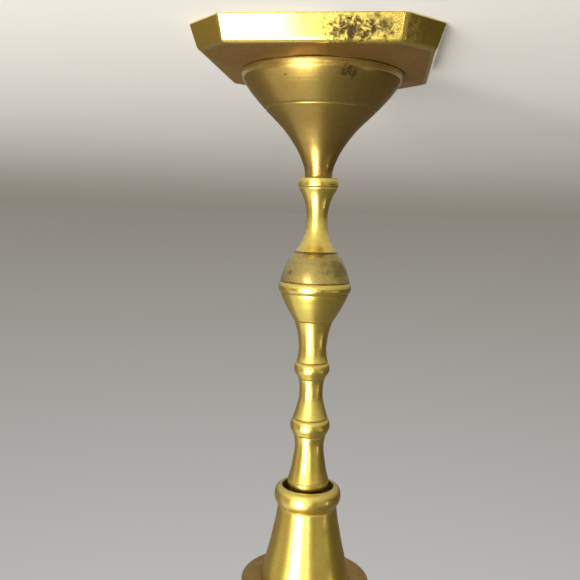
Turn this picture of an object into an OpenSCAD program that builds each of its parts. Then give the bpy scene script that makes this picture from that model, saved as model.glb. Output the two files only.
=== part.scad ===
// Brass candlestick: a stack of turned and cast pieces clamped on one tie rod,
// standing on a canted-corner foot, with a lift-out drip pan that holds the candle.
// Millimetres. +Z is up, the origin is the middle of the foot on the floor.

/* [Foot] */
// Width of the foot across its long flat sides, at the floor
foot_width = 100; // [90:0.5:110]
// Width across the canted corners, at the floor
foot_corner_width = 120.4; // [108:0.2:130]
// Height of the top edge of the skirt
foot_edge_height = 9.9; // [8:0.1:12]
// How far the skirt flares outwards from its top edge to the floor
foot_flare = 3.3; // [1:0.1:5]
// Wall of the skirt at the floor
foot_wall = 2.6; // [2:0.1:4]
// Height of the hollow under the foot
foot_hollow = 7.8; // [6:0.1:8.4]
// Rise of the top from its edge to the seat, along the flat sides
foot_rise = 2.1; // [1:0.1:3]

/* [Riser] */
// Height of the flat seat that the riser stands on
seat_height = 12.3; // [11.5:0.1:12.6]
// Radius of the riser's wide edge
riser_radius = 35.1; // [32:0.1:38]
// Height of the joint between riser and collar
riser_top = 57; // [54:0.5:60]
// Thickness of the riser's shell, measured level
riser_wall = 2.4; // [1.8:0.1:3]

/* [Stem] */
// Height of the joint over the collar
collar_top = 61; // [60:0.2:62]
// Height of the joint over the spool-shaped neck
spool_top = 89.6; // [88:0.2:91]
// Height of the joint over the dome
dome_top = 102.9; // [102:0.1:104]
// Height of the joint over the knop ring
knop_top = 107.6; // [107:0.1:108.4]
// Height of the joint over the taper
taper_top = 120.3; // [119.5:0.1:121]
// Height of the joint over the first bead
bead_joint = 146.5; // [146:0.1:147.2]
// Height of the joint over the second bead
upper_joint = 172.6; // [172.2:0.1:173]
// Height of the end face of the stem
stem_top = 197; // [196:0.1:198]
// Width of the eased edge at each joint
ease = 0.3; // [0.1:0.05:0.5]

/* [Candle cup] */
// Height of the cup's lower lip
cup_bottom = 196.3; // [195.8:0.1:196.8]
// Height of the cup's mouth, where the drip pan rests
cup_top = 241; // [236:0.1:246]
// Radius of the recess round the end of the stem
recess_radius = 11.5; // [10:0.1:12]
// Height of the face in the recess that bears on the stem
recess_floor = 200.8; // [199:0.1:202]
// Height of the floor inside the cup
cup_floor = 205.6; // [204:0.1:207]
// Wall of the cup near its mouth, measured level
cup_wall = 2; // [1.4:0.1:3]

/* [Drip pan] */
// Radius of the flat flange
pan_radius = 29.4; // [26:0.1:34]
// Thickness of the flange
pan_thickness = 1.6; // [1:0.1:2.5]
// Radius of the candle socket
socket_radius = 11.2; // [10:0.1:12]
// Wall of the sleeve that makes the socket
sleeve_wall = 1.5; // [1:0.1:2]
// Height of the underside of the sleeve
sleeve_bottom = 214.1; // [212.8:0.1:220]
// Thickness of the socket's floor
socket_floor = 1.2; // [0.8:0.1:2]
// Clearance between sleeve and cup, and between sleeve and pan, on the radius
pan_clearance = 0.05; // [0.02:0.01:0.1]
// Width of the shoulder on the sleeve that carries the pan
pan_step = 0.5; // [0.3:0.1:0.7]

/* [Fixings] */
// Radius of the tie rod
rod_radius = 3; // [2.5:0.1:3.5]
// Clearance of the holes round the tie rod, on the radius
rod_clearance = 0.2; // [0.1:0.05:0.5]
// Height of the lower end of the tie rod
rod_bottom = 1; // [0.5:0.1:2]
// Radius of the foot washer
washer_radius = 9; // [7:0.5:12]
// Thickness of the foot washer
washer_thickness = 1.6; // [1:0.1:2]
// Width of the foot nut across its flats
nut_width = 10; // [9:0.5:11]
// Thickness of the foot nut
nut_thickness = 4.2; // [3:0.1:5]
// Radius of the round nut inside the cup
cup_nut_radius = 6.5; // [5:0.1:8]
// Thickness of the round nut inside the cup
cup_nut_thickness = 4.6; // [3:0.1:6]

/* [Hidden] */
$fn = 128;
hole = rod_radius + rod_clearance;
guide_radius = socket_radius + sleeve_wall + pan_clearance;
pan_hole = socket_radius + sleeve_wall - pan_step + pan_clearance;
skirt_angle = atan(foot_flare / foot_edge_height);
brass = [0.72, 0.60, 0.28];
pale = [0.78, 0.66, 0.34];
dark = [0.55, 0.46, 0.24];

// A smooth curve through hand-set points, as short straight steps
function blend(a, b, c, d, t) = 0.5 * (2 * b + (c - a) * t
    + (2 * a - 5 * b + 4 * c - d) * t * t + (3 * b - a - 3 * c + d) * t * t * t);
function curve(P, n = 4) = [
    for (i = [0 : len(P) - 2]) for (k = [0 : n - 1])
        blend(P[max(i - 1, 0)], P[i], P[i + 1], P[min(i + 2, len(P) - 1)], k / n),
    P[len(P) - 1]];

// A turned piece: points are [height, radius], with a straight hole for the tie rod
module turned(P, bore) {
    rotate_extrude()
        polygon(concat([[bore, P[0][0]]], [for (p = P) [p[1], p[0]]],
                       [[bore, P[len(P) - 1][0]]]));
}

// The profile P with its two end edges eased by e
function eased(P, e) = concat(
    [[P[0][0], P[0][1] - e]], [[P[0][0] + e, P[0][1]]],
    [for (i = [1 : len(P) - 2]) P[i]],
    [[P[len(P) - 1][0] - e, P[len(P) - 1][1]]],
    [[P[len(P) - 1][0], P[len(P) - 1][1] - e]]);

// Distance of the foot's top edge from the axis, on side q
function top_edge(q) = (q % 2 == 0 ? foot_width : foot_corner_width) / 2 - foot_flare;

// Eight flaring planes, half a floor width of a across the flats and c across the corners
module flared(a, c, top) {
    difference() {
        translate([-80, -80, 0]) cube([160, 160, top]);
        for (q = [0 : 7])
            rotate([0, 0, 45 * q])
                translate([q % 2 == 0 ? a : c, 0, 0])
                    rotate([0, -skirt_angle, 0])
                        translate([0, -120, -60]) cube([120, 240, 120]);
    }
}

module foot() {
    color(brass)
    difference() {
        flared(foot_width / 2, foot_corner_width / 2, 14);
        // top that rises gently from every edge to the seat
        for (q = [0 : 7])
            rotate([0, 0, 45 * q])
                translate([top_edge(q), 0, foot_edge_height])
                    rotate([0, atan(foot_rise / (top_edge(q) - riser_radius - 0.3)), 0])
                        translate([-120, -120, 0]) cube([240, 240, 40]);
        // hollow underneath
        translate([0, 0, -0.001])
            flared(foot_width / 2 - foot_wall, foot_corner_width / 2 - foot_wall, foot_hollow + 0.001);
        // flat seat for the riser, and the hole for the tie rod
        translate([-80, -80, seat_height]) cube([160, 160, 10]);
        translate([0, 0, -1]) cylinder(r = hole, h = 30);
    }
}

module riser() {
    out = concat([[seat_height, riser_radius - 0.2], [seat_height + 0.2, riser_radius], [13.4, riser_radius]],
        curve([[13.6, riser_radius - 0.3], [14.4, 34.6], [16, 34.1], [20, 31.3], [24, 27.9], [28, 24.2], [32, 20.1],
               [36, 16.2], [41, 12.3], [46, 9.2], [51, 7], [54, 6.2], [riser_top, 6]], 5));
    in = curve([[48, hole + 0.6], [46, 9.2 - riser_wall], [41, 12.3 - riser_wall], [36, 16.2 - riser_wall],
                [32, 20.1 - riser_wall], [28, 24.2 - riser_wall], [24, 27.9 - riser_wall],
                [20, 31.3 - riser_wall], [16, 34.1 - riser_wall], [seat_height, riser_radius - riser_wall]], 5);
    color(brass)
    difference() {
        rotate_extrude()
            polygon(concat([for (p = out) [p[1], p[0]]], [[hole, riser_top], [hole, 48]],
                           [for (p = in) [p[1], p[0]]]));
        // fine turned line
        rotate_extrude() translate([24.75, 27.75]) circle(r = 0.5, $fn = 32);
    }
}

module collar() {
    color(pale)
    turned([[riser_top, 8.5], [57.3, 8.8], [57.7, 8.9], [60.3, 8.9], [60.7, 8.8],
            [collar_top, 8.5]], hole);
}

module spool() {
    color(brass)
    turned(concat([[collar_top, 8.2], [61.3, 8.5], [61.8, 8.5]],
        curve([[62.1, 8.3], [63.3, 7.5], [64.8, 6.7], [66.8, 5.9], [69, 5.3], [71.4, 4.8], [74.5, 4.6],
               [77.6, 4.8], [80.1, 5.1], [82.4, 5.7], [84.6, 6.5], [86.9, 7.7], [89.3, 9.3]], 4),
        [[spool_top, 9.1]]), hole);
}

module dome() {
    color(brass)
    turned(concat([[spool_top, 9.4], [89.9, 9.9]],
        curve([[90.4, 10.4], [92, 11.5], [94, 12.5], [96.1, 13.4], [98.4, 14.3], [100.6, 15],
               [102.6, 15.5]], 4),
        [[dome_top, 15.2]]), hole);
}

module knop_ring() {
    color(pale)
    turned(concat([[dome_top, 15.3]],
        curve([[103.2, 15.7], [104.1, 16.1], [105.3, 16.3], [106.4, 16.1], [107.3, 15.6]], 4),
        [[knop_top, 15.2]]), hole);
}

module taper() {
    color(brass)
    turned(concat([[knop_top, 14.9]],
        curve([[107.9, 15.2], [109.6, 14.6], [111.9, 13.5], [114.1, 12.4], [116.4, 11.1], [118.4, 9.9],
               [120, 8.9]], 4),
        [[taper_top, 8.6]]), hole);
}

module bead_spindle() {
    color(brass)
    turned(concat([[taper_top, 8.3], [120.6, 8.6]],
        curve([[121.4, 8.3], [123.2, 7.7], [125.4, 7.1], [127.7, 6.7], [130, 6.4], [132.3, 6.2],
               [134.6, 6.3], [136.8, 6.6], [138.8, 7.1]], 4),
        // fine groove, then the bead
        [[139.2, 6.8]],
        curve([[139.5, 7.2], [140.3, 7.7], [141.2, 7.9], [142.2, 8], [143.4, 7.8], [144.6, 7.2],
               [145.6, 6.5], [146.2, 6.2]], 4),
        [[bead_joint, 5.9]]), hole);
}

module knob_spindle() {
    color(brass)
    turned(concat([[bead_joint, 5.7], [146.8, 6]],
        curve([[147.4, 5.8], [148.8, 5.5], [150.9, 5.3], [153.1, 5.3], [155.4, 5.4], [157.8, 5.9],
               [160.1, 6.5], [162.5, 7.2], [164.6, 7.9]], 4),
        // fine groove, then the bead
        [[165, 7.6]],
        curve([[165.3, 8], [166.1, 8.6], [167.2, 8.9], [168.4, 9], [169.7, 8.8], [171, 8.2],
               [172.3, 7.6]], 4),
        [[upper_joint, 7.3]]), hole);
}

module upper_spindle() {
    color(brass)
    turned(concat([[upper_joint, 6.9], [172.9, 7.2]],
        curve([[173.7, 7.1], [175.2, 6.8], [176.8, 6.6], [179.1, 6.6], [181.3, 6.8], [183.7, 7.2],
               [186.2, 7.6], [188.6, 8], [191, 8.6], [193.2, 9.2]], 4),
        // plain end band, then a spigot that enters the cup
        [[193.7, 9.2], [194, 9.4], [196.6, 9.3], [stem_top, 8.9], [stem_top, 7.4], [recess_floor, 7.4]]), hole);
}

module cup() {
    out = concat([[cup_bottom, 12.5], [196.5, 13]],
        curve([[196.8, 13.6], [197.6, 14.4], [198.9, 15], [200.4, 15.2], [201.9, 15.1], [203.3, 14.7],
               [204.4, 14.1], [205.2, 13.6]], 4),
        [[205.4, 13.4], [206, 13.3]],
        curve([[206.2, 13.5], [209.3, 13.9], [212.1, 14.3], [215.1, 14.9], [218.6, 15.6], [222.1, 16.3],
               [225.6, 17.1], [229.1, 18], [232.6, 18.8], [235.9, 19.4], [238.4, 19.7], [240.7, 19.8]], 4),
        [[cup_top, 19.5]]);
    in = concat([[cup_top, 19.8 - cup_wall]],
        curve([[238.4, 19.7 - cup_wall], [235.9, 19.4 - cup_wall], [232.6, 18.8 - cup_wall],
               [229.1, 18 - cup_wall], [225.6, 17.1 - cup_wall], [223.1, guide_radius + 0.9]], 4));
    color(brass)
    difference() {
        rotate_extrude()
            polygon(concat(
                // recess round the stem end, with a rounded lip
                [[hole, cup_floor], [hole, recess_floor], [recess_radius, recess_floor],
                 [recess_radius, cup_bottom + 0.8], [recess_radius + 0.3, cup_bottom + 0.2]],
                [for (p = out) [p[1], p[0]]], [for (p = in) [p[1], p[0]]],
                // guide for the sleeve, then the space for the nut
                [[guide_radius, 222.3], [guide_radius, 212.7], [11.4, 212.2], [11.4, cup_floor + 1],
                 [10.4, cup_floor]]));
    }
}

module drip_pan() {
    top = cup_top + pan_thickness;
    color(pale)
    rotate_extrude()
        polygon([[pan_hole, cup_top], [pan_radius - 0.3, cup_top], [pan_radius, cup_top + 0.3],
                 [pan_radius, top - 0.4], [pan_radius - 0.4, top],
                 [pan_hole, top]]);
}

module socket_sleeve() {
    top = cup_top + pan_thickness;
    color(brass)
    rotate_extrude()
        polygon([[0, sleeve_bottom], [socket_radius + sleeve_wall - 0.5, sleeve_bottom],
                 [socket_radius + sleeve_wall, sleeve_bottom + 0.5],
                 // shoulder that carries the pan
                 [socket_radius + sleeve_wall, cup_top],
                 [socket_radius + sleeve_wall - pan_step, cup_top],
                 [socket_radius + sleeve_wall - pan_step, top],
                 [socket_radius + 0.5, top], [socket_radius, top - 0.5],
                 [socket_radius, sleeve_bottom + socket_floor], [0, sleeve_bottom + socket_floor]]);
}

module tie_rod() {
    color(dark)
    rotate_extrude()
        polygon([[0, rod_bottom], [rod_radius - 0.5, rod_bottom], [rod_radius, rod_bottom + 0.5],
                 [rod_radius, cup_floor + cup_nut_thickness + 0.5],
                 [rod_radius - 0.5, cup_floor + cup_nut_thickness + 1], [0, cup_floor + cup_nut_thickness + 1]]);
}

module cup_nut() {
    color(dark)
    turned([[cup_floor, cup_nut_radius], [cup_floor + cup_nut_thickness - 0.6, cup_nut_radius],
            [cup_floor + cup_nut_thickness, cup_nut_radius - 0.6]], rod_radius + 0.05);
}

module foot_washer() {
    color(dark)
    translate([0, 0, foot_hollow - washer_thickness])
        difference() {
            cylinder(r = washer_radius, h = washer_thickness);
            translate([0, 0, -1]) cylinder(r = hole, h = washer_thickness + 2);
        }
}

module foot_nut() {
    color(dark)
    translate([0, 0, foot_hollow - washer_thickness - nut_thickness])
        difference() {
            cylinder(r = nut_width / 2 / cos(30), h = nut_thickness, $fn = 6);
            translate([0, 0, -1]) cylinder(r = rod_radius + 0.05, h = nut_thickness + 2);
        }
}

foot();
riser();
collar();
spool();
dome();
knop_ring();
taper();
bead_spindle();
knob_spindle();
upper_spindle();
cup();
drip_pan();
socket_sleeve();
tie_rod();
cup_nut();
foot_washer();
foot_nut();
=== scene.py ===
import bpy
import math
from mathutils import Matrix, Vector


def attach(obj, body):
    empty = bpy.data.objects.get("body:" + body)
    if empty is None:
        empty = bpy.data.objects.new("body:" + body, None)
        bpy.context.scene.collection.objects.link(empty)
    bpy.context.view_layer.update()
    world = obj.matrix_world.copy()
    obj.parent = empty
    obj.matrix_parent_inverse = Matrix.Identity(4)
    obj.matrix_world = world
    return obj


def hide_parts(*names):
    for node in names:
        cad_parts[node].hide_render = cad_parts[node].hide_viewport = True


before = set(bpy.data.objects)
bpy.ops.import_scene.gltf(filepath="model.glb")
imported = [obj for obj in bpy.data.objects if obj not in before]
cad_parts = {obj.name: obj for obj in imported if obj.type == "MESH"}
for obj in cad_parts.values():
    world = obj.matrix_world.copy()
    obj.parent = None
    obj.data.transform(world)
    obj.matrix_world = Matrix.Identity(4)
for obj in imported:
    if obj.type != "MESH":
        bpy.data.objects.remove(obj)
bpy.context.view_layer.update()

MM = 0.001
SEG = 240

# ---------------------------------------------------------------- dimensions
FOOT_H, FOOT_G = 50.0, 60.2          # half widths at the floor, flats and corners
EDGE_Z, FLARE, WALL, HOLLOW, RISE = 9.9, 3.3, 2.6, 7.8, 2.1
SEAT_Z, RISER_R, RISER_TOP, RISER_WALL = 12.3, 35.1, 57.0, 2.4
COLLAR_TOP, SPOOL_TOP, DOME_TOP, KNOP_TOP, TAPER_TOP = 61.0, 89.6, 102.9, 107.6, 120.3
BEAD_JOINT, UPPER_JOINT, STEM_TOP = 146.5, 172.6, 197.0
CUP_BOTTOM, CUP_TOP, RECESS_R, RECESS_Z, CUP_FLOOR, CUP_WALL = 196.3, 241.0, 11.5, 200.8, 205.6, 2.0
PAN_R, PAN_T, SOCKET_R, SLEEVE, SLEEVE_Z, SOCKET_FLOOR = 29.4, 1.6, 11.2, 1.5, 214.1, 1.2
ROD_R, HOLE, ROD_Z = 3.0, 3.2, 1.0


# ---------------------------------------------------------------- curves
def curve(P, n=9):
    """The same smooth curve as the CAD, through the given points."""
    out = []
    for i in range(len(P) - 1):
        a, b, c, d = P[max(i - 1, 0)], P[i], P[i + 1], P[min(i + 2, len(P) - 1)]
        for k in range(n):
            t = k / n
            out.append(tuple(0.5 * (2 * q + (r - p) * t + (2 * p - 5 * q + 4 * r - s) * t * t
                                    + (3 * q - p - 3 * r + s) * t ** 3)
                             for p, q, r, s in zip(a, b, c, d)))
    out.append(tuple(P[-1]))
    return out


def rounded(P, radii, n=4):
    """Rounds the corners of the outline P (r, z) that radii names by index."""
    out = []
    for i, p in enumerate(P):
        e = radii.get(i, 0)
        if not e:
            out.append(p)
            continue
        a, b = P[i - 1], P[(i + 1) % len(P)]
        def step(q):
            dx, dy = q[0] - p[0], q[1] - p[1]
            length = math.hypot(dx, dy) or 1
            k = min(e, length * 0.49) / length
            return (p[0] + dx * k, p[1] + dy * k)
        s, f = step(a), step(b)
        for k in range(n + 1):
            t = k / n
            out.append(tuple((1 - t) ** 2 * s[j] + 2 * t * (1 - t) * p[j] + t * t * f[j] for j in (0, 1)))
    return out


# ---------------------------------------------------------------- meshes
def finish_mesh(name, verts, faces, grime_and_shade, body, nodes, materials, face_mats=None, sharp=32):
    me = bpy.data.meshes.new(name)
    me.from_pydata([(x * MM, y * MM, z * MM) for x, y, z in verts], [], faces)
    me.update()
    a = me.attributes.new("grime_and_shade", "FLOAT", "POINT")
    a.data.foreach_set("value", grime_and_shade)
    for m in materials:
        me.materials.append(m)
    if face_mats:
        me.polygons.foreach_set("material_index", face_mats)
    me.shade_smooth()
    me.set_sharp_from_angle(angle=math.radians(sharp))
    me.validate()
    o = bpy.data.objects.new(name, me)
    bpy.context.scene.collection.objects.link(o)
    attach(o, body)
    if nodes:
        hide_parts(*nodes)
    return o


def lathe(name, outline, body, nodes, materials, grime_and_shade=None, seg=SEG, mat_of=None, wobble=None, sharp=32):
    """A closed solid turned about Z. outline is a loop of (r, z) in mm, with the solid on its left.
    A point on the axis makes one vertex. The darkening argument, a function of (r, z), gives 0 to 1: dark joints and
    grooves, and painted shade in recesses and creases. wobble(r, z, angle) moves a radius."""
    verts, faces, dirt_and_shade, mats, rings = [], [], [], [], []
    for r, z in outline:
        g = grime_and_shade(r, z) if grime_and_shade else 0.0
        if r < 1e-6:
            rings.append([len(verts)])
            verts.append((0, 0, z))
            dirt_and_shade.append(g)
            continue
        ring = []
        for k in range(seg):
            t = 2 * math.pi * k / seg
            q = wobble(r, z, t) if wobble else r
            ring.append(len(verts))
            verts.append((q * math.cos(t), q * math.sin(t), z))
            dirt_and_shade.append(g)
        rings.append(ring)
    n = len(rings)
    for i in range(n):
        a, b = rings[i], rings[(i + 1) % n]
        m = mat_of(outline[i], outline[(i + 1) % n]) if mat_of else 0
        if len(a) == 1 and len(b) == 1:
            continue
        for k in range(seg):
            j = (k + 1) % seg
            if len(a) == 1:
                f = (a[0], b[j], b[k])
            elif len(b) == 1:
                f = (a[k], a[j], b[0])
            else:
                f = (a[k], a[j], b[j], b[k])
            faces.append(f)
            mats.append(m)
    return finish_mesh(name, verts, faces, dirt_and_shade, body, nodes, materials, mats, sharp)


def near(z, levels, width):
    """1 at the given heights, falling to 0 at width from them."""
    return max((max(0.0, 1 - abs(z - q) / width) for q in levels), default=0.0)


# ---------------------------------------------------------------- materials
def new_material(name):
    m = bpy.data.materials.new(name)
    m.use_nodes = True
    nt = m.node_tree
    nt.nodes.clear()
    out = nt.nodes.new("ShaderNodeOutputMaterial")
    bsdf = nt.nodes.new("ShaderNodeBsdfPrincipled")
    nt.links.new(bsdf.outputs[0], out.inputs[0])
    return m, nt, bsdf


class Net:
    """Short names for building a node tree."""
    def __init__(self, nt):
        self.nt = nt
        self.coord = nt.nodes.new("ShaderNodeTexCoord").outputs["Object"]

    def put(self, sock, v):
        if hasattr(v, "is_linked") or hasattr(v, "links"):
            self.nt.links.new(v, sock)
        else:
            sock.default_value = v

    def math(self, op, a, b=0.0, c=0.0, clamp=False):
        n = self.nt.nodes.new("ShaderNodeMath")
        n.operation, n.use_clamp = op, clamp
        for s, v in zip(n.inputs, (a, b, c)):
            self.put(s, v)
        return n.outputs[0]

    def noise(self, scale, detail=4.0, rough=0.55, vector=None, distortion=0.0):
        n = self.nt.nodes.new("ShaderNodeTexNoise")
        n.inputs["Scale"].default_value = scale
        n.inputs["Detail"].default_value = detail
        n.inputs["Roughness"].default_value = rough
        n.inputs["Distortion"].default_value = distortion
        self.nt.links.new(vector or self.coord, n.inputs["Vector"])
        return n.outputs["Fac"]

    def stretch(self, sx, sy, sz, move=(0, 0, 0)):
        n = self.nt.nodes.new("ShaderNodeMapping")
        n.inputs["Scale"].default_value = (sx, sy, sz)
        n.inputs["Location"].default_value = move
        self.nt.links.new(self.coord, n.inputs["Vector"])
        return n.outputs[0]

    def ramp(self, fac, stops, interp="LINEAR"):
        n = self.nt.nodes.new("ShaderNodeValToRGB")
        n.color_ramp.interpolation = interp
        el = n.color_ramp.elements
        while len(el) < len(stops):
            el.new(0.5)
        for e, (p, c) in zip(el, stops):
            e.position = p
            e.color = (c, c, c, 1) if isinstance(c, (int, float)) else (*c, 1)
        self.nt.links.new(fac, n.inputs[0])
        return n.outputs[0]

    def mix(self, fac, a, b, mode="MIX"):
        n = self.nt.nodes.new("ShaderNodeMix")
        n.data_type, n.blend_type = "RGBA", mode
        self.put(n.inputs[0], fac)
        for s, v in ((n.inputs[6], a), (n.inputs[7], b)):
            self.put(s, v if hasattr(v, "links") else (*v, 1))
        return n.outputs[2]

    def attribute(self, name):
        n = self.nt.nodes.new("ShaderNodeAttribute")
        n.attribute_name = name
        return n.outputs["Fac"]

    def bump(self, height, strength, distance, normal=None):
        n = self.nt.nodes.new("ShaderNodeBump")
        n.inputs["Strength"].default_value = strength
        n.inputs["Distance"].default_value = distance
        self.nt.links.new(height, n.inputs["Height"])
        if normal:
            self.nt.links.new(normal, n.inputs["Normal"])
        return n.outputs[0]


def brass(name, seed=0.0, base=(0.79, 0.62, 0.125), old=(0.50, 0.33, 0.065), rough=0.2, rings=0.5,
          age=0.5, spot=None, cast=False, lacquer=0.8):
    m, nt, bsdf = new_material(name)
    t = Net(nt)
    shift = t.stretch(1, 1, 1, (seed, seed * 0.7, seed * 1.3))
    # cloudy toning, finger smudges and fine speckle, from large to small
    clouds = t.ramp(t.noise(55, 5, 0.6, shift, 0.6), [(0.36, 0.0), (0.66, 1.0)])
    smudge = t.ramp(t.noise(230, 4, 0.6, shift, 1.2), [(0.45, 0.0), (0.7, 1.0)])
    speck = t.ramp(t.noise(1500, 2, 0.5, shift), [(0.66, 0.0), (0.74, 1.0)])
    speck2 = t.ramp(t.noise(420, 3, 0.5, shift), [(0.70, 0.0), (0.76, 1.0)])
    # per-vertex darkening mask: dark joints and grooves, and painted shade in recesses and creases
    grime_and_shade = t.attribute("grime_and_shade")
    grime_and_shade_edge = t.math("MULTIPLY", grime_and_shade, t.math("ADD", 0.65, t.math("MULTIPLY", smudge, 0.5)), clamp=True)
    worn = t.math("MULTIPLY", t.math("ADD", t.math("MULTIPLY", clouds, 0.6), t.math("MULTIPLY", smudge, 0.4)), age)
    colour = t.mix(worn, base, old)
    pits = t.math("MAXIMUM", t.math("MULTIPLY", speck, 0.55), t.math("MULTIPLY", speck2, 0.7))
    pits = t.math("MULTIPLY", pits, age, clamp=True)
    colour = t.mix(pits, colour, (0.12, 0.085, 0.03))
    # near-black where that mask is high: dark joints, and painted shade in recesses and creases
    colour = t.mix(t.math("MULTIPLY", grime_and_shade_edge, 0.85), colour, (0.07, 0.045, 0.015))
    if rings:
        streak = t.ramp(t.noise(1.0, 3, 0.65, t.stretch(7, 7, 900, (seed, 2, 1))), [(0.48, 0.0), (0.72, 1.0)])
        colour = t.mix(t.math("MULTIPLY", streak, 0.3 * rings), colour, old)
    dull = t.math("ADD", t.math("MULTIPLY", worn, 0.12), t.math("MULTIPLY", pits, 0.25))
    dull = t.math("ADD", dull, t.math("MULTIPLY", grime_and_shade_edge, 0.35))
    bare = t.math("MAXIMUM", pits, grime_and_shade_edge)
    for (x, y, z), radius, reach, deep in spot or ():
        # a darker patch at one place, broken up into blotches: tarnish, and on the dome's -X side painted shade
        n = nt.nodes.new("ShaderNodeVectorMath")
        n.operation = "DISTANCE"
        nt.links.new(t.stretch(1, 1, 1.6), n.inputs[0])
        n.inputs[1].default_value = (x * MM, y * MM, z * 1.6 * MM)
        inside = t.math("SUBTRACT", 1.0, t.math("DIVIDE", n.outputs["Value"], radius * MM), clamp=True)
        blotch = t.ramp(t.math("ADD", t.noise(430, 6, 0.7, shift, 0.6), t.math("MULTIPLY", inside, reach)),
                        [(0.56, 0.0), (0.80, 1.0)])
        blotch = t.math("MULTIPLY", blotch, t.ramp(inside, [(0.0, 0.0), (0.3, 1.0)]))
        colour = t.mix(t.math("MULTIPLY", blotch, deep), colour, (0.030, 0.017, 0.006))
        dull = t.math("ADD", dull, t.math("MULTIPLY", blotch, 0.22))
        bare = t.math("MAXIMUM", bare, blotch)
    nt.links.new(colour, bsdf.inputs["Base Color"])
    nt.links.new(t.math("SUBTRACT", 1.0, t.math("MULTIPLY", bare, 0.15), clamp=True), bsdf.inputs["Metallic"])
    fine = t.noise(900, 3, 0.6, shift)
    roughness = t.math("ADD", t.math("ADD", rough, t.math("MULTIPLY", t.math("SUBTRACT", fine, 0.5), 0.08)), dull)
    roughness = t.math("MINIMUM", roughness, 0.85)
    nt.links.new(roughness, bsdf.inputs["Roughness"])
    # turning lines round the axis, hairline scratches, soft waviness and the pits themselves
    normal = None
    if rings:
        line = t.noise(1.0, 4, 0.7, t.stretch(6, 6, 2600, (seed, 0, 0)))
        line2 = t.noise(1.0, 2, 0.5, t.stretch(4, 4, 700, (seed, 3, 0)))
        both = t.math("ADD", t.math("MULTIPLY", line, 0.55), t.math("MULTIPLY", line2, 0.45))
        normal = t.bump(both, rings, 0.00004)
    if cast:
        normal = t.bump(t.noise(900, 5, 0.6, shift), 0.5, 0.00012, normal)
    scratch = t.noise(1.0, 3, 0.6, t.stretch(2600, 240, 500, (seed, 1, 2)), 0.4)
    normal = t.bump(scratch, 0.25, 0.00002, normal)
    normal = t.bump(t.noise(70, 2, 0.5, shift), 0.35, 0.0003, normal)
    normal = t.bump(t.math("SUBTRACT", 1.0, pits), 0.5, 0.00006, normal)
    nt.links.new(normal, bsdf.inputs["Normal"])
    bsdf.inputs["Specular IOR Level"].default_value = 0.5
    # what is left of an old clear lacquer
    if lacquer:
        nt.links.new(t.math("MULTIPLY", t.math("SUBTRACT", 1.0, bare, clamp=True), lacquer), bsdf.inputs["Coat Weight"])
    bsdf.inputs["Coat Roughness"].default_value = 0.11
    bsdf.inputs["Coat IOR"].default_value = 1.5
    return m


def steel(name):
    m, nt, bsdf = new_material(name)
    t = Net(nt)
    spots = t.ramp(t.noise(420, 5, 0.6), [(0.42, 0.0), (0.62, 1.0)])
    rust = t.ramp(t.noise(900, 4, 0.6), [(0.56, 0.0), (0.68, 1.0)])
    colour = t.mix(spots, (0.36, 0.35, 0.33), (0.20, 0.19, 0.17))
    colour = t.mix(t.math("MULTIPLY", rust, 0.6), colour, (0.17, 0.08, 0.035))
    # darker where the per-vertex darkening mask is high: all over the rod, in the nut bores and at the washer's top
    # edge
    colour = t.mix(t.attribute("grime_and_shade"), colour, (0.04, 0.03, 0.02))
    nt.links.new(colour, bsdf.inputs["Base Color"])
    bsdf.inputs["Metallic"].default_value = 0.9
    nt.links.new(t.math("ADD", 0.36, t.math("MULTIPLY", t.math("MAXIMUM", spots, rust), 0.28)),
                 bsdf.inputs["Roughness"])
    nt.links.new(t.bump(t.noise(2200, 4, 0.6), 0.4, 0.00005), bsdf.inputs["Normal"])
    return m


def floor_material():
    m, nt, bsdf = new_material("floor_paper")
    t = Net(nt)
    nt.links.new(t.mix(t.noise(9, 3), (0.74, 0.735, 0.72), (0.77, 0.765, 0.75)), bsdf.inputs["Base Color"])
    bsdf.inputs["Roughness"].default_value = 0.85
    nt.links.new(t.bump(t.noise(600, 3), 0.1, 0.0002), bsdf.inputs["Normal"])
    return m


M_FOOT = brass("foot_brass", 3.1, rough=0.115, rings=0.0, age=0.5,
               spot=(((-13.5, -48.6, 5.6), 13.0, 0.36, 0.97), ((-25.0, -47.6, 5.2), 11.0, 0.30, 0.9),
                     ((-22.0, -48.0, 5.4), 26.0, 0.42, 0.5)))
# the foot's top: a darker, redder copy of the brass, partly tarnish and partly painted shade
M_PLATE = brass("foot_top_brass", 4.2, base=(0.46, 0.275, 0.085), old=(0.27, 0.145, 0.045), rough=0.42, rings=0.0, age=0.8,
                lacquer=0.1)
M_UNDER = brass("foot_cast_inside", 7.7, lacquer=0.0, base=(0.34, 0.26, 0.10), old=(0.13, 0.095, 0.04), rough=0.5, rings=0.0,
                age=0.9, cast=True)
# the riser: a darker copy of the brass, painted shade standing in for darker surroundings in its reflection; its two
# spots are tarnish
M_RISER = brass("riser_brass", 1.3, base=(0.43, 0.30, 0.075), old=(0.29, 0.18, 0.043), rough=0.3, rings=1.1, age=0.8,
                lacquer=0.25, spot=(((-13.5, -30.5, 17.5), 7.0, 0.42, 0.9), ((12.0, -31.0, 18.5), 1.6, 0.5, 0.9)))
M_STEM = brass("stem_brass", 5.9, rough=0.29, rings=0.6, age=0.45)
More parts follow.
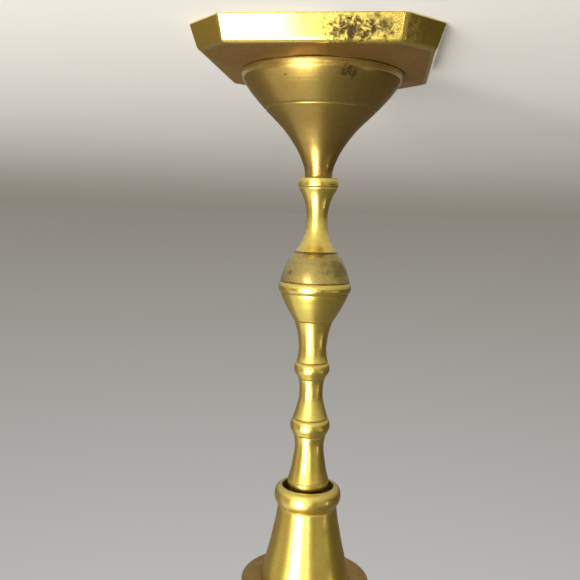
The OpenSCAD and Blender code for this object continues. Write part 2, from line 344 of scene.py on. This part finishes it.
# the dome: a darker copy of the brass, painted shade toning down its reflection of the floor; its large spot darkens
# the -X side as painted shade, the small spot is tarnish
M_DOME = brass("dome_brass", 6.3, base=(0.50, 0.385, 0.095), old=(0.26, 0.175, 0.045), rough=0.25, rings=0.7, age=0.65,
               spot=(((9.0, -9.0, 99.5), 4.5, 0.3, 0.85), ((-11.0, -8.5, 96.5), 12.0, 0.40, 0.5)))
M_RING = brass("ring_brass", 9.2, rough=0.27, rings=0.5, age=0.35)
M_CUP = brass("cup_brass", 2.4, rough=0.31, rings=0.7, age=0.5)
M_INSIDE = brass("inside_brass", 8.8, lacquer=0.0, base=(0.45, 0.34, 0.11), old=(0.20, 0.15, 0.05), rough=0.38, rings=0.9, age=0.8)
M_PAN = brass("pan_brass", 4.6, base=(0.74, 0.53, 0.14), rough=0.27, rings=0.6, age=0.45)
# the pan's underside: a darker copy of the pan brass, painted shade under the pan
M_PANUNDER = brass("pan_underside", 5.2, base=(0.46, 0.29, 0.08), old=(0.26, 0.15, 0.045), rough=0.34, rings=0.8, age=0.8,
                   lacquer=0.1)
M_STEEL = steel("old_steel")

TURNED = ("turned_brass", [M_STEM])


# ---------------------------------------------------------------- turned pieces
def turned(name, P, levels, mats=None, bore=HOLE, body="stick", radii=None, width=0.55, depth=1.0):
    """P runs up the outside as (z, r)."""
    loop = [(bore, P[-1][0]), (bore, P[0][0])] + [(r, z) for z, r in P]
    # darkens the piece in bands at the given levels: dark joints and grooves, and painted shade where a band reaches
    # into a recess or crease
    def grime_and_shade(r, z):
        return depth * near(z, levels, width)
    return lathe(name, loop, body, [name], mats or [M_STEM], grime_and_shade)


def ease_up(z, r, e=0.3, n=4):
    """A quarter-round edge that starts a piece: from (z, r - e) out to (z + e, r)."""
    return [(z + e * (1 - math.cos(a)), r - e + e * math.sin(a)) for a in [math.pi / 2 * k / n for k in range(n + 1)]]


def ease_down(z, r, e=0.3, n=4):
    return [(z - e * (1 - math.cos(a)), r - e + e * math.sin(a)) for a in [math.pi / 2 * (n - k) / n for k in range(n + 1)]]


# riser, a hollow bell with one fine turned line
riser_out = ease_up(SEAT_Z, RISER_R, 0.2) + [(12.8, RISER_R), (13.2, RISER_R)] + ease_down(13.5, RISER_R, 0.28) + curve(
    [(13.6, RISER_R - 0.34), (14.4, 34.6), (16, 34.1), (20, 31.3), (24, 27.9), (28, 24.2), (32, 20.1), (36, 16.2), (41, 12.3), (46, 9.2),
     (51, 7), (54, 6.2), (RISER_TOP, 6)], 14)
groove = []
for z, r in riser_out:
    d = abs(z - 27.75)
    groove.append((z, r - 0.34 * max(0.0, 1 - (d / 0.42) ** 2)))
riser_in = curve(
    [(48, HOLE + 0.6), (46, 9.2 - RISER_WALL), (41, 12.3 - RISER_WALL), (36, 16.2 - RISER_WALL),
     (32, 20.1 - RISER_WALL), (28, 24.2 - RISER_WALL), (24, 27.9 - RISER_WALL), (20, 31.3 - RISER_WALL),
     (16, 34.1 - RISER_WALL), (SEAT_Z, RISER_R - RISER_WALL)], 6)
lathe("riser_bell", [(r, z) for z, r in groove] + [(HOLE, RISER_TOP), (HOLE, 48)] + [(r, z) for z, r in riser_in],
      "stick", ["riser"], [M_RISER],
      lambda r, z: max(0.9 * near(z, [27.75], 0.5), near(z, [SEAT_Z], 0.8), 0.8 * near(z, [RISER_TOP], 0.9)))

turned("collar", [(RISER_TOP, 8.5), (57.15, 8.68), (57.4, 8.83), (57.7, 8.9), (60.3, 8.9), (60.6, 8.83), (60.85, 8.68)]
       + [(COLLAR_TOP, 8.5)], [RISER_TOP, COLLAR_TOP], [M_RING], width=0.5)
turned("spool", [(COLLAR_TOP, 8.2), (61.12, 8.4), (61.3, 8.48), (61.8, 8.48)] + curve(
    [(62.1, 8.3), (63.3, 7.5), (64.8, 6.7), (66.8, 5.9), (69, 5.3), (71.4, 4.8), (74.5, 4.6),
     (77.6, 4.8), (80.1, 5.1), (82.4, 5.7), (84.6, 6.5), (86.9, 7.7), (89.3, 9.3)]) + [(SPOOL_TOP, 9.1)],
       [COLLAR_TOP, SPOOL_TOP])
# the dome's wider bands are painted shade in its creases, toning down a warm reflection at the spool joint
turned("dome", [(SPOOL_TOP, 9.4), (89.7, 9.66), (89.9, 9.88)] + curve(
    [(90.4, 10.4), (92, 11.5), (94, 12.5), (96.1, 13.4), (98.4, 14.3), (100.6, 15), (102.6, 15.5)])
       + [(DOME_TOP, 15.2)], [SPOOL_TOP, DOME_TOP], [M_DOME], width=0.9)
turned("knop_ring", [(DOME_TOP, 15.3)] + curve(
    [(103.2, 15.7), (104.1, 16.1), (105.3, 16.3), (106.4, 16.1), (107.3, 15.6)]) + [(KNOP_TOP, 15.2)],
       [DOME_TOP, KNOP_TOP], [M_RING], width=0.45)
turned("taper", [(KNOP_TOP, 14.9)] + curve(
    [(107.9, 15.2), (109.6, 14.6), (111.9, 13.5), (114.1, 12.4), (116.4, 11.1), (118.4, 9.9), (120, 8.9)])
       + [(TAPER_TOP, 8.6)], [KNOP_TOP, TAPER_TOP])
turned("bead_spindle", [(TAPER_TOP, 8.3)] + curve(
    [(120.6, 8.6), (121.4, 8.3), (123.2, 7.7), (125.4, 7.1), (127.7, 6.7), (130, 6.4), (132.3, 6.2), (134.6, 6.3),
     (136.8, 6.6), (138.8, 7.1)]) + [(139.05, 6.9), (139.2, 6.78), (139.35, 6.9)] + curve(
    [(139.5, 7.2), (140.3, 7.7), (141.2, 7.9), (142.2, 8), (143.4, 7.8), (144.6, 7.2), (145.6, 6.5), (146.2, 6.2)])
       + [(BEAD_JOINT, 5.9)], [TAPER_TOP, 139.2, BEAD_JOINT])
turned("knob_spindle", [(BEAD_JOINT, 5.7)] + curve(
    [(146.8, 6), (147.4, 5.8), (148.8, 5.5), (150.9, 5.3), (153.1, 5.3), (155.4, 5.4), (157.8, 5.9), (160.1, 6.5),
     (162.5, 7.2), (164.6, 7.9)]) + [(164.85, 7.7), (165, 7.58), (165.15, 7.72)] + curve(
    [(165.3, 8), (166.1, 8.6), (167.2, 8.9), (168.4, 9), (169.7, 8.8), (171, 8.2), (172.3, 7.6)])
       + [(UPPER_JOINT, 7.3)], [BEAD_JOINT, 165, UPPER_JOINT])
# the band at 199.6 darkens the stem end inside the cup's recess: painted shade
turned("upper_spindle", [(UPPER_JOINT, 6.9)] + curve(
    [(172.9, 7.18), (173.7, 7.1), (175.2, 6.8), (176.8, 6.6), (179.1, 6.6), (181.3, 6.8), (183.7, 7.2), (186.2, 7.6),
     (188.6, 8), (191, 8.6), (193.2, 9.2)]) + [(193.7, 9.2), (194, 9.4), (195.4, 9.38), (196.6, 9.3)]
       + ease_down(STEM_TOP, 9.3, 0.4)[1:] + [(STEM_TOP, 7.4), (RECESS_Z, 7.4)],
       [UPPER_JOINT, 193.6, 199.6], width=0.7)

# candle cup, with the rolled lip round the stem end
guide = SOCKET_R + SLEEVE + 0.05
cup_out = (ease_up(CUP_BOTTOM, 12.9, 0.3)[:-1] + curve(
    [(196.6, 13.15), (196.8, 13.55), (197.6, 14.35), (198.9, 14.98), (200.4, 15.18), (201.9, 15.08), (203.3, 14.68),
     (204.4, 14.08), (205.2, 13.58)]) + [(205.4, 13.4), (205.6, 13.3), (205.9, 13.3), (206.05, 13.38)] + curve(
    [(206.2, 13.5), (209.3, 13.9), (212.1, 14.3), (215.1, 14.9), (218.6, 15.6), (222.1, 16.3), (225.6, 17.1),
     (229.1, 18), (232.6, 18.8), (235.9, 19.4), (238.4, 19.7), (240.6, 19.78)]) + [(240.85, 19.66), (CUP_TOP, 19.4)])
cup_in = [(CUP_TOP, 17.95), (240.8, 17.8)] + curve(
    [(238.4, 17.7), (235.9, 17.4), (232.6, 16.8), (229.1, 16), (225.6, 15.1), (223.1, 13.65)])
lip = [(RECESS_R, CUP_BOTTOM + 0.9), (RECESS_R + 0.12, CUP_BOTTOM + 0.45), (RECESS_R + 0.45, CUP_BOTTOM + 0.1)]
cup_loop = ([(HOLE, CUP_FLOOR), (HOLE, RECESS_Z), (RECESS_R, RECESS_Z)] + lip + [(r, z) for z, r in cup_out]
            + [(r, z) for z, r in cup_in]
            + [(guide, 222.3), (guide, 212.7), (11.4, 212.2), (11.4, CUP_FLOOR + 1), (10.4, CUP_FLOOR)])
outside_cup = {(r, z) for z, r in cup_out} | {lip[-1]}


# darker at the bead's neck groove and under the rim, as dark joints, and across the recess round the stem end as
# painted shade
lathe("cup_shell", cup_loop, "stick", ["cup"], [M_CUP, M_INSIDE],
      lambda r, z: max(near(z, [205.7], 0.6) if r > 13 else 0, near(z, [CUP_TOP], 0.8) if r > 16 else 0,
                       0.8 * near(z, [RECESS_Z], 3.6) if r < RECESS_R + 0.05 and z < 203 else 0),
      mat_of=lambda a, b: 0 if a in outside_cup and b in outside_cup else 1)

# drip pan: a flat ring, with the candle socket fixed in its middle
top = CUP_TOP + PAN_T
joint_r = SOCKET_R + SLEEVE
seat_r = joint_r - 0.5
hole_r = seat_r + 0.05
flange = ([(hole_r, CUP_TOP), (14.5, CUP_TOP), (19.4, CUP_TOP), (20.2, CUP_TOP), (24, CUP_TOP)]
          + rounded([(24.1, CUP_TOP), (PAN_R, CUP_TOP), (PAN_R, top), (24, top)], {1: 0.55, 2: 0.75}, 5)
          + [(18, top), (hole_r + 0.08, top), (hole_r, top - 0.08)])
# dark joints where the cup meets the underside and at the socket hole; the underside faces take pan_underside, a darker
# copy painted as shade under the pan
lathe("drip_pan_flange", flange, "pan", ["drip_pan"], [M_PAN, M_PANUNDER],
      lambda r, z: max(near(r, [19.7], 0.7) if z < CUP_TOP + 0.1 and r > 15 else 0, 0.8 * near(r, [hole_r], 0.5)),
      mat_of=lambda a, b: 1 if max(a[1], b[1]) < CUP_TOP + 0.2 else 0)
sleeve = [(0, SLEEVE_Z), (joint_r - 0.5, SLEEVE_Z), (joint_r - 0.15, SLEEVE_Z + 0.15), (joint_r, SLEEVE_Z + 0.5),
          (joint_r, CUP_TOP), (seat_r, CUP_TOP), (seat_r, top - 0.08), (seat_r - 0.08, top), (SOCKET_R + 0.5, top), (SOCKET_R + 0.22, top - 0.1),
          (SOCKET_R, top - 0.5), (SOCKET_R, 230), (SOCKET_R, SLEEVE_Z + SOCKET_FLOOR + 0.4),
          (SOCKET_R - 0.4, SLEEVE_Z + SOCKET_FLOOR), (0, SLEEVE_Z + SOCKET_FLOOR)]
# darker towards the socket's floor and at the seat's top edge
lathe("candle_socket_sleeve", sleeve, "pan", ["socket_sleeve"], [M_PAN, M_INSIDE],
      lambda r, z: max(0.9 * near(z, [SLEEVE_Z + SOCKET_FLOOR], 4) if r < SOCKET_R + 0.05 else 0,
                       0.8 if r > seat_r - 0.09 and z > top - 0.1 else 0),
      mat_of=lambda a, b: 0 if min(a[1], b[1]) > top - 0.6 and min(a[0], b[0]) > SOCKET_R - 0.01 else 1)


# ---------------------------------------------------------------- fixings
def thread(pitch, depth, low, high):
    def w(r, z, t):
        if r < ROD_R - 0.6 or not low < z < high:
            return r
        u = (z / pitch - t / (2 * math.pi)) % 1.0
        fade = min(1.0, (z - low) / pitch, (high - z) / pitch)
        return r - depth * fade * abs(2 * u - 1)
    return w


rod_top = CUP_FLOOR + 4.6 + 1
def rod_levels(a, b, step):
    n = int(round((b - a) / step))
    return [a + (b - a) * k / n for k in range(n + 1)]
rod = ([(0, ROD_Z), (ROD_R - 0.5, ROD_Z)] + [(ROD_R, z) for z in rod_levels(ROD_Z + 0.5, 12.0, 0.125)]
       + [(ROD_R, z) for z in (60, 120, 180)] + [(ROD_R, z) for z in rod_levels(203.0, rod_top - 0.5, 0.125)]
       + [(ROD_R - 0.5, rod_top), (0, rod_top)])
def rod_thread(r, z, t):
    return thread(1.0, 0.5, 1.2, 11.8)(r, z, t) if z < 100 else thread(1.0, 0.5, 203.2, rod_top - 0.3)(r, z, t)
lathe("tie_rod_threaded", rod, "stick", ["tie_rod"], [M_STEEL],
      lambda r, z: 0.25, seg=72, wobble=rod_thread, sharp=75)

nut_z0, nut_z1 = HOLLOW - 1.6 - 4.2, HOLLOW - 1.6
def hexagon(r, z, t):
    if r < 4.0:
        return r
    a = (t + math.pi / 6) % (math.pi / 3) - math.pi / 6
    flat = 5.0 / math.cos(a)
    cone = 5.25 + 2.2 * min(z - nut_z0, nut_z1 - z + 0.6)
    return min(flat, cone, r)
nut_ring = [nut_z0 + (nut_z1 - nut_z0) * k / 14 for k in range(15)]
nut_in = ROD_R + 0.05
lathe("foot_hex_nut", [(nut_in, nut_z1), (nut_in, nut_z0 + 0.3), (nut_in + 0.3, nut_z0), (3.9, nut_z0)]
      + [(5.7735, z) for z in nut_ring] + [(3.9, nut_z1)],
      "stick", ["foot_nut"], [M_STEEL], lambda r, z: 0.5 if r < 3.4 else 0.05, seg=144, wobble=hexagon,
      sharp=24)
lathe("foot_flat_washer", rounded([(HOLE, HOLLOW), (HOLE, HOLLOW - 1.6), (9.0, HOLLOW - 1.6), (9.0, HOLLOW)],
                                  {1: 0.15, 2: 0.3}),
      "stick", ["foot_washer"], [M_STEEL], lambda r, z: 0.6 if r > 8.9 and z > HOLLOW - 0.5 else 0.1,
      seg=120)

cn0, cn1 = CUP_FLOOR, CUP_FLOOR + 4.6
def knurl(r, z, t):
    if r < 6.2 or not cn0 + 0.7 < z < cn1 - 0.8:
        return r
    return r - 0.12 + 0.12 * math.cos(48 * t)
lathe("cup_round_nut", [(nut_in, cn1), (nut_in, cn0), (6.2, cn0), (6.5, cn0 + 0.3)]
      + [(6.5, cn0 + 0.6 + (3.2 * k / 8)) for k in range(9)] + [(6.5, cn1 - 0.6), (5.9, cn1)],
      "stick", ["cup_nut"], [M_STEEL], lambda r, z: 0.3 if r < 3.4 else 0.1, seg=288, wobble=knurl)


# ---------------------------------------------------------------- the foot
def canted(h, g, corner, per_side):
    """The outline of a square of half width h with its corners cut at distance g, and each of its eight corners
    rounded by its own radius. The same number of points on every side and corner."""
    k = g * math.sqrt(2) - h
    pts = [(h, -k), (h, k), (k, h), (-k, h), (-h, k), (-h, -k), (-k, -h), (k, -h)]
    out = []
    n = 6
    tan = math.tan(math.radians(22.5))
    for i in range(8):
        p, a, b = pts[i], pts[i - 1], pts[(i + 1) % 8]
        e = corner[i] * tan
        la, lb = math.dist(p, a), math.dist(p, b)
        s = [p[j] + (a[j] - p[j]) * e / la for j in (0, 1)]
        f = [p[j] + (b[j] - p[j]) * e / lb for j in (0, 1)]
        for q in range(n + 1):
            t = q / n
            out.append(tuple((1 - t) ** 2 * s[j] + 2 * t * (1 - t) * p[j] + t * t * f[j] for j in (0, 1)))
        nxt = pts[(i + 1) % 8]
        prv = p
        e2 = corner[(i + 1) % 8] * tan
        s2 = [nxt[j] + (prv[j] - nxt[j]) * e2 / lb for j in (0, 1)]
        for q in range(1, per_side):
            t = q / per_side
            out.append(tuple(f[j] + (s2[j] - f[j]) * t for j in (0, 1)))
    return out


def top_plane(x, y):
    """The height of the foot's top: eight planes rising gently from the edges to the seat, softened where they meet."""
    lift = []
    for q in range(8):
        a = math.pi / 4 * q
        edge = (FOOT_G if q % 2 else FOOT_H) - FLARE
        lift.append((edge - x * math.cos(a) - y * math.sin(a)) * RISE / (edge - RISER_R - 0.3))
    low = min(lift)
    soft_low = low - 0.05 * math.log(sum(math.exp(-(v - low) / 0.05) for v in lift))
    return min(SEAT_Z, EDGE_Z + soft_low)


slope = FLARE / EDGE_Z
soft = [1.6, 1.5, 1.4, 1.7, 1.8, 2.0, 3.2, 1.5]
PER = 22
rings, dirt_and_shade, kinds = [], [], []
def section(d, zf, corner, g=0.0, kind=0):
    out = canted(FOOT_H - d, FOOT_G - d, corner, PER)
    rings.append([(x, y, zf(x, y) if callable(zf) else zf) for x, y in out])
    dirt_and_shade.append(g)
    kinds.append(kind)

# inner hollow, from the ceiling down to the rim, then up the skirt and over the crown to the seat
def circle_ring(r, z, like, g=0.0, kind=0):
    out = []
    for x, y, _ in like:
        s = r / math.hypot(x, y)
        out.append((x * s, y * s, z))
    rings.append(out)
    dirt_and_shade.append(g)
    kinds.append(kind)

base = [(x, y, 0) for x, y in canted(FOOT_H, FOOT_G, soft, PER)]
# the hollow's ceiling darkens towards the bore, and its inner corner darkens
circle_ring(HOLE, HOLLOW, base, 0.8, 1)
circle_ring(9.0, HOLLOW, base, 0.6, 1)
circle_ring(20.0, HOLLOW, base, 0.2, 1)
circle_ring(34.0, HOLLOW, base, 0.1, 1)
inner = [1.6] * 8
dz = HOLLOW * slope
section(WALL + dz + 3.0, HOLLOW, inner, 0.2, 1)
for k in range(6):
    a = math.pi / 2 * k / 5
    rr = 1.2
    section(WALL + dz + rr * (1 - math.sin(a)) - rr * (1 - math.cos(a)) * slope + 0.0,
            HOLLOW - rr * (1 - math.cos(a)), inner, 0.7, 1)
section(WALL + 3.0 * slope, 3.0, inner, 0.25, 1)
section(WALL + 0.5 * slope, 0.5, inner, 0.2, 1)
section(WALL - 0.15, 0.1, inner, 0.2, 0)
section(WALL - 0.5, 0.0, inner, 0.2, 0)
section(0.45, 0.0, soft, 0.0, 0)
for k in range(1, 5):
    a = math.pi / 2 * k / 4
    section(0.45 - 0.35 * math.sin(a), 0.35 * (1 - math.cos(a)), soft, 0.0, 0)
for z in (0.6, 1.2, 2, 3, 4, 5, 6, 7, 7.6, 8.1):
    section(z * slope, z, soft, 0.0, 0)


# the top edge is rounded over, then the top rises to the seat
n_edge, ease = 8, 1.3
for k in range(n_edge + 1):
    a = math.pi / 2 * k / n_edge
    drop = ease * (1 - math.sin(a))
    d = (EDGE_Z - drop) * slope + ease * (1 - math.cos(a)) * 0.9 + 0.02
    ring = []
    for x, y in canted(FOOT_H - d, FOOT_G - d, soft, PER):
        ring.append((x, y, top_plane(x, y) - drop - 0.02))
    rings.append(ring)
    dirt_and_shade.append(0.0)
    kinds.append(0)
outer = rings[-1]
STEPS = 16
for k in range(1, STEPS + 1):
    t = k / STEPS
    ring = []
    for x, y, z in outer:
        r0 = math.hypot(x, y)
        r = r0 + (RISER_R + 0.3 - r0) * t
        X, Y = x * r / r0, y * r / r0
        ring.append((X, Y, min(SEAT_Z, top_plane(X, Y) - 0.02 * (1 - t))))
    rings.append(ring)
    # the plate darkens a little all over, and strongly at its joint with the riser
    dirt_and_shade.append(max(0.12, 0.9 * max(0.0, 1 - (1 - t) * STEPS / 1.4)))
    kinds.append(2)
circle_ring(20.0, SEAT_Z, outer, 0.3, 1)
circle_ring(HOLE, SEAT_Z, outer, 0.3, 1)

verts, faces, grime_and_shade, mats = [], [], [], []
N = len(rings[0])
for ring, g in zip(rings, dirt_and_shade):
    verts += ring
    grime_and_shade += [g] * N
for i in range(len(rings)):
    a, b = i * N, ((i + 1) % len(rings)) * N
    kind = min(kinds[i], kinds[(i + 1) % len(rings)]) if kinds[i] < 2 else 2
    for k in range(N):
        j = (k + 1) % N
        faces.append((a + k, a + j, b + j, b + k))
        mats.append(kind)
finish_mesh("foot_casting", verts, faces, grime_and_shade, "stick", ["foot"], [M_FOOT, M_UNDER, M_PLATE], mats, sharp=40)

# ---------------------------------------------------------------- floor, light and camera
bpy.ops.mesh.primitive_plane_add(size=12, location=(0, 0, 0))
ground = bpy.context.object
ground.name = "ground_sheet"
ground.data.materials.append(floor_material())


def softbox(name, azimuth, elevation, distance, size, power, colour=(1, 1, 1), aim=(0, 0, 0.1)):
    a, e = math.radians(azimuth), math.radians(elevation)
    d = bpy.data.lights.new(name, "AREA")
    d.shape, d.size, d.size_y, d.energy, d.color = "RECTANGLE", size[0], size[1], power, colour
    o = bpy.data.objects.new(name, d)
    where = Vector(aim) + distance * Vector((math.sin(a) * math.cos(e), -math.cos(a) * math.cos(e), math.sin(e)))
    o.location = where
    o.rotation_mode = "QUATERNION"
    o.rotation_quaternion = (Vector(aim) - where).to_track_quat("-Z", "Y")
    bpy.context.scene.collection.objects.link(o)
    o.visible_camera = False
    return o


softbox("key_soft", 22.5, 23, 0.95, (0.45, 0.80), 14.0, (1.0, 0.985, 0.95))
softbox("front_soft", 4, -3, 0.45, (0.13, 0.13), 0.09, (1.0, 0.97, 0.90))
softbox("strip_soft", -11, 12, 1.0, (0.03, 0.42), 0.6, (1.0, 0.98, 0.94))
softbox("side_soft", 84, 16, 1.1, (0.5, 0.9), 0.45, (1.0, 0.95, 0.85))
softbox("glint_soft", -76, 21, 1.0, (0.06, 0.12), 0.20, (1.0, 0.97, 0.88))
softbox("fill_soft", -52, 12, 1.1, (0.6, 0.8), 0.42, (1.0, 0.93, 0.80))
softbox("low_soft", 20, -19, 0.25, (0.09, 0.06), 0.085, (1.0, 0.98, 0.92))
sun = bpy.data.lights.new("sky_soft", "SUN")
sun.energy, sun.angle, sun.color = 0.40, math.radians(60), (1.0, 0.99, 0.97)
sky = bpy.data.objects.new("sky_soft", sun)
sky.rotation_euler = (math.radians(30), 0, math.radians(70))
bpy.context.scene.collection.objects.link(sky)

HORIZON = (0.262, 0.246, 0.213)

# the air of the studio: bright overhead, dim all round, lighter on the side of the key. The camera itself sees one plain
# pale tone behind the object
world = bpy.data.worlds.new("studio_air")
bpy.context.scene.world = world
world.use_nodes = True
wn = world.node_tree
wn.nodes.clear()


def world_node(kind, **inputs):
    n = wn.nodes.new(kind)
    for k, v in inputs.items():
        n.inputs[k].default_value = v
    return n


w_out, w_tc, w_sep = (world_node(k) for k in ("ShaderNodeOutputWorld", "ShaderNodeTexCoord", "ShaderNodeSeparateXYZ"))
wn.links.new(w_tc.outputs["Generated"], w_sep.inputs[0])
w_up = world_node("ShaderNodeValToRGB")
el = w_up.color_ramp.elements
el[0].position, el[0].color = 0.0, (0.16, 0.125, 0.075, 1)
el[1].position, el[1].color = 1.0, (0.25, 0.24, 0.215, 1)
for q, c in ((0.30, (0.16, 0.13, 0.085, 1)), (0.62, (0.20, 0.185, 0.15, 1))):
    e = el.new(q)
    e.color = c
wn.links.new(w_sep.outputs["Z"], w_up.inputs[0])
w_side = world_node("ShaderNodeMapRange", **{"From Min": -1.0, "From Max": 1.0, "To Min": 0.65, "To Max": 1.55})
wn.links.new(w_sep.outputs["X"], w_side.inputs["Value"])
w_air = world_node("ShaderNodeBackground")
wn.links.new(w_up.outputs[0], w_air.inputs["Color"])
wn.links.new(w_side.outputs[0], w_air.inputs["Strength"])
w_seen = world_node("ShaderNodeBackground")
w_fade = world_node("ShaderNodeValToRGB")
el = w_fade.color_ramp.elements
el[0].position, el[0].color = 0.0, (*HORIZON, 1)
el[1].position, el[1].color = 0.5, (0.50, 0.495, 0.485, 1)
wn.links.new(w_sep.outputs["Z"], w_fade.inputs[0])
wn.links.new(w_fade.outputs[0], w_seen.inputs["Color"])
w_path, w_mix = world_node("ShaderNodeLightPath"), world_node("ShaderNodeMixShader")
wn.links.new(w_path.outputs["Is Camera Ray"], w_mix.inputs[0])
wn.links.new(w_air.outputs[0], w_mix.inputs[1])
wn.links.new(w_seen.outputs[0], w_mix.inputs[2])
wn.links.new(w_mix.outputs[0], w_out.inputs[0])
bpy.context.scene.view_settings.view_transform = "Standard"

# The camera looks square at the stem from 0.32 m, turned so that the foot is at the top of the frame.
FOCAL_PX, CAM_D, CAM_S = 710.0, 0.317, 0.0764
YAW, PITCH, ROLL, TURN = (math.radians(v) for v in (-1.99, 5.5, 1.8, -5.5))


def fit_rows():
    """Right, forward and down of the camera, in a frame with x right, y away and z along the stem to the cup."""
    rows = []
    for v in ((1, 0, 0), (0, 1, 0), (0, 0, 1)):
        x, y, z = v
        c, s = math.cos(YAW), math.sin(YAW)
        x, y = c * x - s * y, s * x + c * y
        c, s = math.cos(PITCH), math.sin(PITCH)
        y, z = c * y + s * z, -s * y + c * z
        c, s = math.cos(ROLL), math.sin(ROLL)
        x, z = c * x - s * z, s * x + c * z
        rows.append((x, y, z))
    return [Vector([rows[j][i] for j in range(3)]) for i in range(3)]


def to_row(v):
    c, s = math.cos(TURN), math.sin(TURN)
    x, y = -v.x, v.y
    return Vector((c * x - s * y, s * x + c * y, v.z))


right, forward, down = (to_row(v) for v in fit_rows())
cam_data = bpy.data.cameras.new("view_camera")
cam = bpy.data.objects.new("view_camera", cam_data)
bpy.context.scene.collection.objects.link(cam)
bpy.context.scene.camera = cam
cam_data.sensor_width = 36.0
cam_data.lens = FOCAL_PX / 580.0 * 36.0
cam_data.clip_start, cam_data.clip_end = 0.01, 50.0
place = to_row(Vector((0, -CAM_D, 0)))
place.z = CAM_S
m = Matrix((right, -down, -forward)).transposed().to_4x4()
m.translation = place
cam.matrix_world = m
